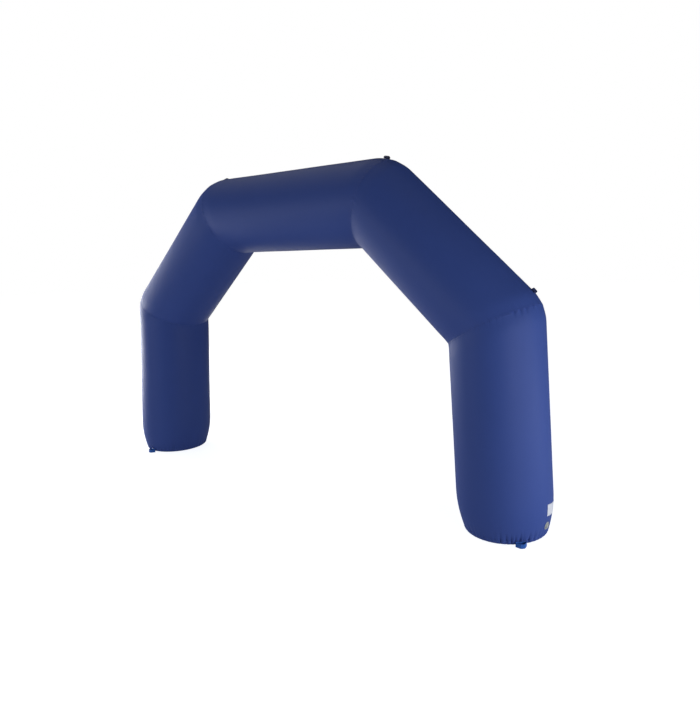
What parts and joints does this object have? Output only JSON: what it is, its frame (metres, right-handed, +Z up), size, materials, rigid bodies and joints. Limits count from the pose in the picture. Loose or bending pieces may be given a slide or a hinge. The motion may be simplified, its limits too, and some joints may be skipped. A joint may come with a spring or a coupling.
{
  "type": "inflatable arch",
  "caption": "Air-filled start or finish arch of coated cloth: straight round tubes with mitred bends, flat round feet, webbing loops for guys and pegs.",
  "frame": {"origin": "on the ground, midway between the feet, in the middle of the tube's depth", "axes": "+X along the span, towards the leg with the valve; +Y to the back; +Z up"},
  "size_m": [5.9562, 0.9048, 3.5888],
  "materials": {
    "cloth": "dark blue coated cloth, satin",
    "webbing": "blue woven webbing, matt",
    "patch": "white coated cloth, blank",
    "valve": "pale grey moulded plastic"
  },
  "bodies": {
    "root": {"leg_left": "cloth", "shoulder_left": "cloth", "crest": "cloth", "shoulder_right": "cloth", "leg_right": "cloth", "base_panel_left": "cloth", "base_panel_right": "cloth", "guy_loop_shoulder_left": "webbing", "guy_loop_crest_left": "webbing", "guy_loop_crest_right": "webbing", "guy_loop_shoulder_right": "webbing", "peg_loop_left_front": "webbing", "peg_loop_left_back": "webbing", "peg_loop_right_front": "webbing", "peg_loop_right_back": "webbing", "blank_patch": "patch", "air_valve": "valve"}
  },
  "joints": []
}
